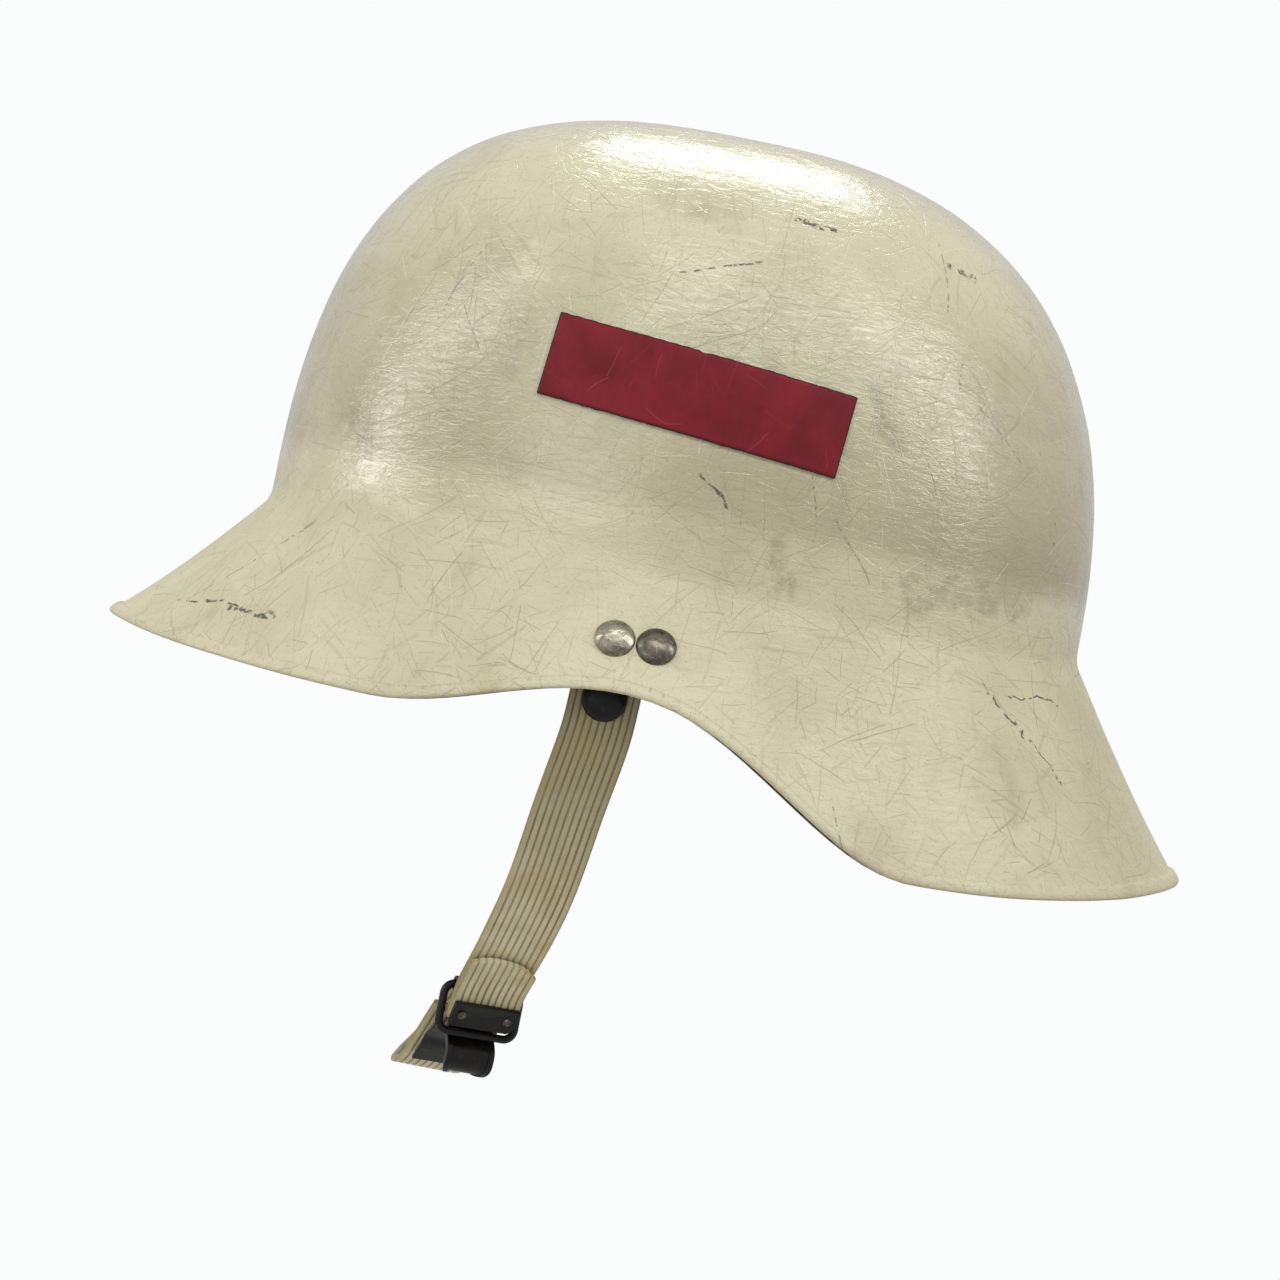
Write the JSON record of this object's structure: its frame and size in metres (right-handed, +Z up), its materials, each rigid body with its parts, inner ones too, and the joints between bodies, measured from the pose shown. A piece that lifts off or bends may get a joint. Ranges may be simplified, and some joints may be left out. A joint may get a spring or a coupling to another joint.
{
  "type": "fire helmet",
  "caption": "Wide-brimmed fire helmet: flared shell with neck guard, riveted brackets, strap cradle liner and a ribbed chin strap with a ring-and-hook buckle.",
  "frame": {"origin": "centre of the dome's base, level with the top of the flare, where the liner seats the helmet on a head", "axes": "+X to the rear (front of the helmet at -X), +Y to the wearer's right, +Z up through the crown"},
  "size_m": [0.32, 0.237, 0.2834],
  "materials": {
    "shell_cream": "ivory gel coat over glass fibre laminate, glossy, finely scratched and grimy",
    "patch_red": "dark red adhesive film, satin",
    "nickel": "tarnished nickel plate",
    "bracket_steel": "dull zinc-plated steel",
    "liner_plastic": "black moulded plastic, satin",
    "buffer_rubber": "black rubber, matt",
    "leather": "brown perforated leather, worn",
    "webbing": "woven cotton webbing",
    "pad_foam": "cloth-covered foam",
    "strap_vinyl": "ribbed cream vinyl, ochre in the grooves",
    "black_plastic": "black moulded plastic"
  },
  "bodies": {
    "helmet": {"shell": "shell_cream", "red_patch_left": "patch_red", "red_patch_right": "patch_red", "shell_rivet_left_front": "nickel", "shell_rivet_left_rear": "nickel", "shell_rivet_right_front": "nickel", "shell_rivet_right_rear": "nickel", "rivet_washer_left_front": "nickel", "rivet_washer_left_rear": "nickel", "rivet_washer_right_front": "nickel", "rivet_washer_right_rear": "nickel", "side_bracket_left": "bracket_steel", "side_bracket_right": "bracket_steel", "strap_button_left": "black_plastic", "strap_button_right": "black_plastic", "liner_hoop": "liner_plastic", "headband": "liner_plastic", "rubber_buffer_1": "buffer_rubber", "rubber_buffer_2": "buffer_rubber", "rubber_buffer_3": "buffer_rubber", "rubber_buffer_4": "buffer_rubber", "rubber_buffer_5": "buffer_rubber", "rubber_buffer_6": "buffer_rubber", "band_spacer_front": "buffer_rubber", "band_spacer_left": "buffer_rubber", "band_spacer_right": "buffer_rubber", "sweatband": "leather", "crown_strap_1": "webbing", "crown_strap_2": "webbing", "crown_strap_3": "webbing", "crown_stud_1a": "nickel", "crown_stud_1b": "nickel", "crown_stud_2a": "nickel", "crown_stud_2b": "nickel", "crown_stud_3a": "nickel", "crown_stud_3b": "nickel", "crown_pad": "pad_foam"},
    "nape_band": {"nape_band": "liner_plastic", "nape_stud_left": "nickel", "nape_stud_right": "nickel"},
    "chin_strap": {"chin_strap_left": "strap_vinyl", "chin_strap_right": "strap_vinyl", "buckle_plate": "black_plastic", "buckle_back_plate": "black_plastic", "buckle_rivet_front": "black_plastic", "buckle_rivet_rear": "black_plastic", "buckle_hook": "black_plastic"},
    "buckle_ring": {"buckle_ring": "black_plastic"}
  },
  "joints": [
    {"name": "nape_size_slide", "type": "slide", "parent": "helmet", "child": "nape_band", "axis": [1, 0, 0], "range_m": [-0.008, 0.004]},
    {"name": "chin_strap_swing", "type": "hinge", "parent": "helmet", "child": "chin_strap", "pos_m": [-0.0125, 0, -0.0362], "axis": [0, 1, 0], "range_deg": [-35, 60]},
    {"name": "buckle_ring_swing", "type": "hinge", "parent": "chin_strap", "child": "buckle_ring", "pos_m": [-0.02947, -0.05644, -0.1225], "axis": [-0.9397, -0.342, 0], "range_deg": [0, 75]}
  ]
}
